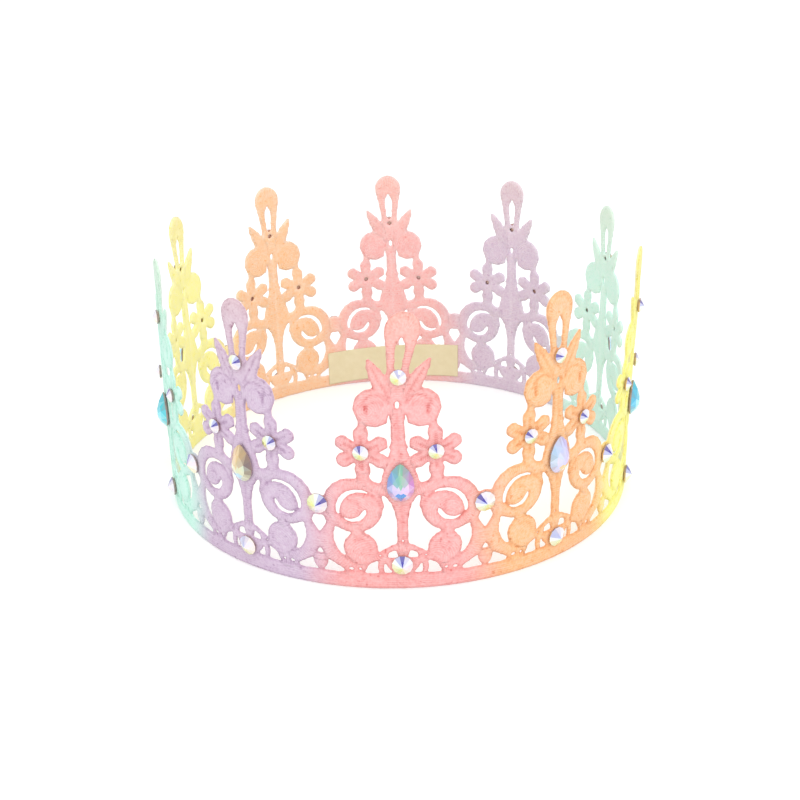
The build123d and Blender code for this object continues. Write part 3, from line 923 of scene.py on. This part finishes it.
def round_cut(radius, height, facets, start):
    """A pointed round cut: a foiled back cone, a thin girdle, a lower row of facets and a point.
    The crown is a cone whose middle ring stands a little proud of the straight slope."""
    angle = start + 2 * np.pi * np.arange(facets) / facets
    ring = np.stack([np.sin(-angle), np.cos(angle), np.zeros(facets)], axis=1)
    break_up = GIRDLE + 0.52 * (height - GIRDLE)
    levels = [(0.82, 0.0), (0.97, 0.32), (1.0, 0.42), (1.0, GIRDLE), (0.55, break_up)]
    rings = [ring * (radius * wide, radius * wide, 1) + (0, 0, up) for wide, up in levels]
    points = np.concatenate([*rings, [(0, 0, 0)], [(0, 0, height)]])
    back, tip = len(levels) * facets, len(levels) * facets + 1
    faces, kinds = [], []
    for level in range(len(levels) - 1):
        faces += ring_faces(level * facets, (level + 1) * facets, facets)
        kinds += [level] * facets
    last = (len(levels) - 1) * facets
    for step in range(facets):
        after = (step + 1) % facets
        faces += [(last + step, last + after, tip), (after, step, back)]
        kinds += [len(levels), 0]
    return points, faces, kinds


def round_tint(centre, kind, wedges, shift, bright):
    """Glue on the back, dark foil on the girdle with a painted golden glint at the lower left, and
    on the crown a painted reflection for each wedge by its angle."""
    if kind == 0:
        return GLUE
    if kind < 3:
        # Painted glint: the lower left of the girdle is golden.
        return GOLDEN_GLINT if kind == 2 and centre[0] + centre[1] < 0 else FOIL
    angle = (math.atan2(centre[0], centre[1]) + shift) % (2 * math.pi)
    index = int(round(angle / (2 * math.pi) * len(wedges))) % len(wedges)
    colour = np.array(wedges[index])
    if kind == 3:
        across = np.array(wedges[(index + 5) % len(wedges)])
        colour = colour * 0.9 + 0.1 * across * bright
    return tuple(colour)


def pear_outline(width, length, count):
    """A pear: half an ellipse below, and above it sides that lean in to a point."""
    radius, foot = width / 2, width * 0.56
    tip = length - foot
    angle = np.linspace(0, 2 * np.pi, count, endpoint=False)
    across, up = np.sin(angle) * -radius, np.cos(angle) * radius
    high = up > 0
    share = np.clip(up / radius, 0, 1)
    across = np.where(high, across * (1 - 0.5 * share ** 4), across)
    up = np.where(high, up / radius * tip, up / radius * foot) + foot - radius
    return np.stack([across, up, np.zeros(count)], axis=1)


def pear_cut(width, length, height):
    """A pear cut: girdle, a row of break facets, a row of main facets and a short crest."""
    count = 16
    ring = pear_outline(width, length, count)
    middle = np.array([0, width * 0.08, 0])
    crown = height - PEAR_GIRDLE
    levels = [(0.86, 0.0), (0.98, 0.35), (1.0, 0.5), (1.0, PEAR_GIRDLE),
              (0.62, PEAR_GIRDLE + 0.6 * crown), (0.26, PEAR_GIRDLE + 0.93 * crown)]
    rings = [middle + (ring - middle) * (wide, wide, 1) + (0, 0, up) for wide, up in levels]
    points = np.concatenate([*rings, [middle], [middle + (0, 0, height)]])
    back, tip = len(levels) * count, len(levels) * count + 1
    outer, inner, core = 3 * count, 4 * count, 5 * count
    faces, kinds = [], []
    for level in range(3):
        faces += ring_faces(level * count, (level + 1) * count, count)
        kinds += [0] * count
    for step in range(0, count, 2):
        after, next_one = (step + 1) % count, (step + 2) % count
        faces += [
            (outer + step, outer + after, inner + after),
            (outer + after, outer + next_one, inner + after),
            (outer + step, inner + after, inner + step),
            (inner + after, outer + next_one, inner + next_one),
            (inner + step, inner + after, core + after, core + step),
            (inner + after, inner + next_one, core + next_one, core + after),
            (core + step, core + after, core + next_one, tip),
        ]
        kinds += [1, 1, 2, 2, 3, 3, 4]
    for step in range(count):
        faces.append(((step + 1) % count, step, back))
        kinds.append(0)
    return points, faces, kinds


def mixed(first, second, share):
    """A colour between two others."""
    return tuple(np.array(first) * (1 - share) + np.array(second) * share)


def pear_tint(centre, kind, tints, dice):
    """Colours laid out as the coating shows them: one hue at the point, cool sides, the right one
    of some in painted shade, a pale belly and a painted reflection as a bright patch low in the
    middle."""
    if kind == 0:
        return FOIL
    crown, left, right, belly, spot = tints
    across, up = centre[0] / 4, centre[1] / 8
    side = right if across > 0 else left
    if up > 0.22:
        colour = mixed(crown, side, min(1, abs(across) * 1.2))
    elif abs(across) > 0.5:
        colour = mixed(side, belly, 0.25 + 0.3 * (up < -0.1))
    elif up < -0.08 and kind >= 2 and abs(across) < 0.36:
        return spot
    else:
        colour = mixed(belly, side, 0.2)
    if kind > 1:
        return mixed(colour, (1, 1, 1), dice.uniform(0, 0.22))
    return mixed(colour, FOIL, dice.uniform(0, 0.35))


def facet_middles(shape, faces):
    """The mean of each facet's corners."""
    return [shape[list(face)].mean(axis=0) for face in faces]


def stone_piece(kind, number, solids, material):
    """One piece for all the stones of a node, with a tint on every facet that holds its painted
    reflection and shade.
    """
    points, faces, colours, start = [], [], [], 0
    for placed, stone_faces, tints in solids:
        points.append(placed)
        faces += [tuple(start + index for index in face) for face in stone_faces]
        colours += tints
        start += len(placed)
    name = f"{kind}_cut_{number + 1}"
    piece = new_piece(name, np.concatenate(points), faces, material, smooth=False)
    layer = piece.data.attributes.new("tint", "FLOAT_COLOR", "CORNER")
    sides = [len(face) for face in faces]
    values = np.repeat(np.array([(*tint, 1.0) for tint in colours]), sides, axis=0)
    layer.data.foreach_set("color", values.astype(np.float32).ravel())
    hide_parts(f"{kind}_{number + 1}")


# Settings


class LaceSizes(bpy.types.PropertyGroup):
    """The lace and its threads"""
    thickness: FloatProperty(
        name="Thickness", description="Front to back over the padded threads",
        default=0.0012, unit="LENGTH")
    cell: FloatProperty(
        name="Cell", description="Size of the mesh cells of the lace",
        default=0.0005, unit="LENGTH")
    thread_pitch: FloatProperty(
        name="Thread pitch", description="From one row of stitches to the next",
        default=0.00075, unit="LENGTH")
    thread_depth: FloatProperty(
        name="Thread depth", description="Depth between two rows of stitches",
        default=0.00012, unit="LENGTH")
    unevenness: FloatProperty(
        name="Unevenness", description="How far the motifs sway and lean, with none at 0",
        default=1.0)


class DyeColours(bpy.types.PropertyGroup):
    """The five dyes, which go twice round the ring"""
    pink: FloatVectorProperty(
        name="Pink", description="Front and back motifs",
        subtype="COLOR", default=srgb(248, 178, 176))
    peach: FloatVectorProperty(
        name="Peach", description="Second and seventh motifs",
        subtype="COLOR", default=srgb(252, 195, 143))
    yellow: FloatVectorProperty(
        name="Yellow", description="Third and eighth motifs",
        subtype="COLOR", default=srgb(255, 251, 148))
    mint: FloatVectorProperty(
        name="Mint", description="Fourth and ninth motifs",
        subtype="COLOR", default=srgb(206, 250, 235))
    lavender: FloatVectorProperty(
        name="Lavender", description="Fifth and tenth motifs",
        subtype="COLOR", default=srgb(213, 190, 214))


class LabelSizes(bpy.types.PropertyGroup):
    """The label and where it is glued"""
    length: FloatProperty(
        name="Length", description="Round the ring", default=0.0556, unit="LENGTH")
    height: FloatProperty(
        name="Height", description="Edge to edge", default=0.014, unit="LENGTH")
    lift: FloatProperty(
        name="Lift", description="Above the lower edge of the lace",
        default=0.0021, unit="LENGTH")
    shift: FloatProperty(
        name="Shift", description="From the middle of the back towards the left",
        default=0.001, unit="LENGTH")
    slant: FloatProperty(
        name="Slant", description="How far the label is glued out of level",
        default=math.radians(2.0), subtype="ANGLE")
    colour: FloatVectorProperty(
        name="Colour", description="Undyed tape", subtype="COLOR", default=srgb(243, 231, 197))


class StoneSizes(bpy.types.PropertyGroup):
    """The three cuts of the stones"""
    round_diameter: FloatProperty(
        name="Round", description="Base and junction stones", default=0.0064, unit="LENGTH")
    round_height: FloatProperty(
        name="Round height", description="Back to point", default=0.0026, unit="LENGTH")
    small_diameter: FloatProperty(
        name="Small", description="Flower and top stones", default=0.0047, unit="LENGTH")
    small_height: FloatProperty(
        name="Small height", description="Back to point", default=0.0020, unit="LENGTH")
    pear_width: FloatProperty(
        name="Pear width", description="Across the belly", default=0.008, unit="LENGTH")
    pear_length: FloatProperty(
        name="Pear length", description="Foot to point", default=0.0121, unit="LENGTH")
    pear_height: FloatProperty(
        name="Pear height", description="Back to crest", default=0.0034, unit="LENGTH")
    facets: IntProperty(name="Facets", description="Wedges of a round stone", default=12)


class StageSettings(bpy.types.PropertyGroup):
    """The camera and the light"""
    distance: FloatProperty(
        name="Distance", description="From the camera to what it looks at",
        default=0.41743, unit="LENGTH")
    elevation: FloatProperty(
        name="Elevation", description="Of the camera above the floor",
        default=math.radians(24.024), subtype="ANGLE")
    orbit: FloatProperty(
        name="Orbit", description="Of the camera round the ring",
        default=math.radians(-0.547), subtype="ANGLE")
    roll: FloatProperty(
        name="Roll", description="Tilt of the picture",
        default=math.radians(1.293), subtype="ANGLE")
    lens: FloatProperty(
        name="Lens", description="Focal length in millimetres", default=53.053, unit="CAMERA")
    sky: FloatProperty(
        name="Sky", description="Strength of the light from all round", default=1.05)
    lamp: FloatProperty(
        name="Lamp", description="Power of the soft lamp in watts", default=3.2, unit="POWER")


class CROWN_OT_lace(bpy.types.Operator):
    """Make the ten dyed motifs of the lace ring"""
    bl_idname = "crown.lace"
    bl_label = "Lace ring"

    def execute(self, context):
        scene = context.scene
        motif = LaceMesh(scene.crown_lace)
        material = dyed_thread(scene.crown_dye, scene.crown_lace)
        for number in range(MOTIFS):
            motif.piece(number, material, scene.crown_lace)
        return {"FINISHED"}


# The outer and inner face of the label, in millimetres outwards from the middle of the lace.
LABEL_FACES = (-0.74, -0.98)


class CROWN_OT_label(bpy.types.Operator):
    """Make the blank woven label inside the back of the ring"""
    bl_idname = "crown.label"
    bl_label = "Woven label"

    def execute(self, context):
        sizes = context.scene.crown_label
        length, height, lift = sizes.length / MM, sizes.height / MM, sizes.lift / MM
        columns, rows = 109, 29
        s, z = np.meshgrid(np.linspace(-length / 2, length / 2, columns),
                           np.linspace(0, height, rows))
        # A slow sine along the tape lifts its middle off the lace, and a quick one ripples its
        # two long edges.
        slack = 0.10 * np.sin(s * 0.55) * np.sin(np.pi * z / height) ** 2
        fray = 0.06 * np.sin(s * 3.1) * (np.abs(z / height * 2 - 1) > 0.97)
        level = z + lift + fray - s * math.tan(sizes.slant)
        along = s + sizes.shift / MM
        inner = on_ring(along, level, LABEL_FACES[1] - slack, math.pi).reshape(-1, 3)
        outer = on_ring(along, level, LABEL_FACES[0] - slack, math.pi).reshape(-1, 3)
        number = np.arange(s.size).reshape(s.shape)
        corners = [number[:-1, :-1], number[:-1, 1:], number[1:, 1:], number[1:, :-1]]
        cells = np.stack(corners, axis=-1).reshape(-1, 4)
        rim = np.concatenate([number[0], number[1:, -1], number[-1, -2::-1], number[-2:0:-1, 0]])
        after = np.roll(rim, -1)
        walls = np.stack([after, rim, rim + s.size, after + s.size], axis=1)
        faces = np.concatenate([cells, cells[:, ::-1] + s.size, walls]).tolist()
        points = np.concatenate([outer, inner])
        tape = woven_tape(tuple(sizes.colour))
        piece = new_piece("woven_label", points, faces, tape)
        two_sided_map(piece.data, "weave", s.ravel(), z.ravel())
        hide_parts("label")
        return {"FINISHED"}


class CROWN_OT_round_stones(bpy.types.Operator):
    """Make the round stones of the base, the junctions, the flowers and the tops"""
    bl_idname = "crown.round_stones"
    bl_label = "Round stones"

    def execute(self, context):
        sizes = context.scene.crown_stones
        material = coated_crystal("round_crystal", 0.12)
        dice = np.random.default_rng(11)
        big = (sizes.round_diameter / MM / 2, sizes.round_height / MM)
        small = (sizes.small_diameter / MM / 2, sizes.small_height / MM)
        uneven = context.scene.crown_lace.unevenness
        kinds = {
            "base_stone": [(big, 0, BASE_STONE[1])],
            "junction_stone": [(big, HALF_PITCH, JUNCTION[1])],
            "top_stone": [(small, 0, TOP_STONE[1])],
            "flower_stones": [(small, FLOWER[0], FLOWER[1]), (small, -FLOWER[0], FLOWER[1])],
        }
        for kind, stones in kinds.items():
            for number in range(MOTIFS):
                solids = []
                glued_along, glued_up = GLUED.get((kind, number), dice.uniform(-0.2, 0.2, 2))
                for size, along, up in stones:
                    shape, faces, colours = self.cut(kind, number, *size, sizes.facets, dice)
                    along, up = along + uneven * glued_along, up + uneven * glued_up
                    seat = stone_frame(number, along, up, uneven)
                    solids.append((place_stone(shape, seat), faces, colours))
                stone_piece(kind, number, solids, material)
        return {"FINISHED"}

    def cut(self, kind, number, radius, height, facets, dice):
        """One stone with its tints, turned by chance or as the table says."""
        half_wedge = math.pi / facets
        spin = dice.uniform(-0.35, 0.35)
        if (kind, number) in TURNED:
            spin = -math.radians(TURNED[kind, number]) - half_wedge
        shape, faces, kinds = round_cut(radius, height, facets, spin)
        # The wedges take these painted reflections; the clear stones have no dark wedge.
        wedges = WEDGE_REFLECTIONS
        if (kind, number) in CLEAR:
            wedges = WEDGE_REFLECTIONS[-1:] + WEDGE_REFLECTIONS[1:]
        colours = [round_tint(middle, row, wedges, spin + half_wedge, dice.uniform(0.8, 1.2))
                   for middle, row in zip(facet_middles(shape, faces), kinds)]
        return shape, faces, colours


class CROWN_OT_pear_stones(bpy.types.Operator):
    """Make the pear-shaped stones in the middle of the motifs"""
    bl_idname = "crown.pear_stones"
    bl_label = "Pear stones"

    def execute(self, context):
        sizes = context.scene.crown_stones
        material = coated_crystal("pear_crystal", 0.1)
        dice = np.random.default_rng(4)
        shape, faces, kinds = pear_cut(
            sizes.pear_width / MM, sizes.pear_length / MM, sizes.pear_height / MM)
        middles = facet_middles(shape, faces)
        for number, tints in enumerate(PEARS):
            colours = [pear_tint(middle, kind, PEAR_HUES_AND_PAINTED_LIGHT[tints], dice)
                       for middle, kind in zip(middles, kinds)]
            seat = stone_frame(number, 0, PEAR[1], context.scene.crown_lace.unevenness)
            solids = [(place_stone(shape, seat), faces, colours)]
            stone_piece("pear_stone", number, solids, material)
        return {"FINISHED"}


# The stage, in metres

CAMERA_TARGET = (0.00083, 0.0, 0.026256)
LAMP_PLACE = (0.15, -0.72, 0.98)
LAMP_TARGET = (0, 0, 0.03)
LAMP_SIZE = 0.7
FLOOR_REACH = 3.0
FLOOR_DROP = 0.0003
FLOOR_GLOW = 0.27


class CROWN_OT_stage(bpy.types.Operator):
    """Make the camera, the soft studio light and the white floor"""
    bl_idname = "crown.stage"
    bl_label = "Stage"

    def execute(self, context):
        scene, look = context.scene, context.scene.crown_stage
        self.make_camera(scene, look)
        self.make_sky(scene, look.sky)
        self.make_floor()
        lamp = bpy.data.lights.new("soft_lamp", "AREA")
        lamp.energy, lamp.size = look.lamp, LAMP_SIZE
        holder = bpy.data.objects.new("soft_lamp", lamp)
        holder.location = LAMP_PLACE
        facing = Vector(LAMP_TARGET) - holder.location
        holder.rotation_euler = facing.to_track_quat("-Z", "Y").to_euler()
        scene.collection.objects.link(holder)
        scene.view_settings.view_transform = "Standard"
        return {"FINISHED"}

    def make_camera(self, scene, look):
        """The camera stands on an arc round its target and rolls about its own line of sight."""
        camera = bpy.data.cameras.new("camera")
        camera.lens, camera.sensor_width = look.lens, 36.0
        camera.clip_start = 0.01
        back = Vector((0, -math.cos(look.elevation), math.sin(look.elevation)))
        holder = bpy.data.objects.new("camera", camera)
        facing = (-back).to_track_quat("-Z", "Y").to_matrix().to_4x4()
        place = Matrix.Translation(Vector(CAMERA_TARGET) + back * look.distance) @ facing
        orbit = Matrix.Rotation(look.orbit, 4, "Z")
        holder.matrix_world = orbit @ place @ Matrix.Rotation(-look.roll, 4, "Z")
        scene.collection.objects.link(holder)
        scene.camera = holder

    def make_sky(self, scene, strength):
        """White all round, seen at full strength by the camera and in glossy surfaces."""
        world = bpy.data.worlds.new("studio")
        world.use_nodes = True
        tree = world.node_tree
        sky = tree.nodes["Background"]
        sky.inputs["Color"].default_value = (1, 1, 1, 1)

        def larger(first, second):
            node = tree.nodes.new("ShaderNodeMath")
            node.operation = "MAXIMUM"
            tree.links.new(first, node.inputs[0])
            tree.links.new(second, node.inputs[1])
            return node.outputs[0]

        path = tree.nodes.new("ShaderNodeLightPath").outputs
        shiny = larger(path["Is Glossy Ray"], path["Is Transmission Ray"])
        level = tree.nodes.new("ShaderNodeMapRange")
        tree.links.new(larger(path["Is Camera Ray"], shiny), level.inputs[0])
        level.inputs[3].default_value = strength
        level.inputs[4].default_value = 1.0
        tree.links.new(level.outputs[0], sky.inputs["Strength"])
        scene.world = world

    def make_floor(self):
        """A white floor that keeps the soft shadow of the crown and fades into the backdrop."""
        nodes = Nodes("white_floor")
        diffuse = nodes.add("ShaderNodeBsdfDiffuse")
        paper = nodes.scale(nodes.noise(nodes.place(), 8.0), 0.3, 0.7, 0.8, 0.82)
        shade = nodes.add("ShaderNodeCombineColor")
        for index in range(3):
            nodes.join(paper, shade.inputs[index])
        nodes.join(shade.outputs[0], diffuse.inputs["Color"])
        glow = nodes.add("ShaderNodeEmission")
        path = nodes.add("ShaderNodeLightPath")
        seen = nodes.math("MAXIMUM", path.outputs["Is Camera Ray"], path.outputs["Is Glossy Ray"])
        nodes.join(nodes.math("MULTIPLY", seen, FLOOR_GLOW), glow.inputs["Strength"])
        both = nodes.add("ShaderNodeAddShader")
        nodes.join(diffuse.outputs[0], both.inputs[0])
        nodes.join(glow.outputs[0], both.inputs[1])
        nodes.join(both.outputs[0], nodes.tree.nodes["Material Output"].inputs["Surface"])
        nodes.tree.nodes.remove(nodes.shader)
        reach, level = FLOOR_REACH, -FLOOR_DROP
        corners = [(-reach, -reach, level), (reach, -reach, level), (reach, reach, level),
                   (-reach, reach, level)]
        mesh = bpy.data.meshes.new("floor")
        mesh.from_pydata(corners, [], [(0, 1, 2, 3)])
        mesh.materials.append(nodes.material)
        floor = bpy.data.objects.new("floor", mesh)
        bpy.context.scene.collection.objects.link(floor)


class CROWN_PT_panel(bpy.types.Panel):
    """The pieces of the crown, in the order in which they are made"""
    bl_idname = "CROWN_PT_panel"
    bl_label = "Lace Crown"
    bl_space_type = "VIEW_3D"
    bl_region_type = "UI"
    bl_category = "Crown"

    def draw(self, context):
        layout, scene = self.layout, context.scene
        for title, group, operator in (
            ("Lace", scene.crown_lace, "crown.lace"),
            ("Dye", scene.crown_dye, None),
            ("Label", scene.crown_label, "crown.label"),
            ("Stones", scene.crown_stones, "crown.round_stones"),
            ("Stage", scene.crown_stage, "crown.stage"),
        ):
            box = layout.box()
            box.label(text=title)
            for name in group.__annotations__:
                box.prop(group, name)
            if operator:
                box.operator(operator)
            if operator == "crown.round_stones":
                box.operator("crown.pear_stones")


GROUPS = {
    "crown_lace": LaceSizes,
    "crown_dye": DyeColours,
    "crown_label": LabelSizes,
    "crown_stones": StoneSizes,
    "crown_stage": StageSettings,
}
CLASSES = (*GROUPS.values(), CROWN_OT_lace, CROWN_OT_label, CROWN_OT_round_stones,
           CROWN_OT_pear_stones, CROWN_OT_stage, CROWN_PT_panel)


def register():
    """Register the classes and hang each group of settings on the scene."""
    for made in CLASSES:
        bpy.utils.register_class(made)
    for name, group in GROUPS.items():
        setattr(bpy.types.Scene, name, PointerProperty(type=group))


def unregister():
    """Undo what register does, in reverse."""
    for name in GROUPS:
        delattr(bpy.types.Scene, name)
    for made in reversed(CLASSES):
        bpy.utils.unregister_class(made)


def main():
    """Make the pieces and the stage in order."""
    register()
    bpy.ops.crown.lace()
    bpy.ops.crown.label()
    bpy.ops.crown.round_stones()
    bpy.ops.crown.pear_stones()
    bpy.ops.crown.stage()


if __name__ == "__main__":
    main()
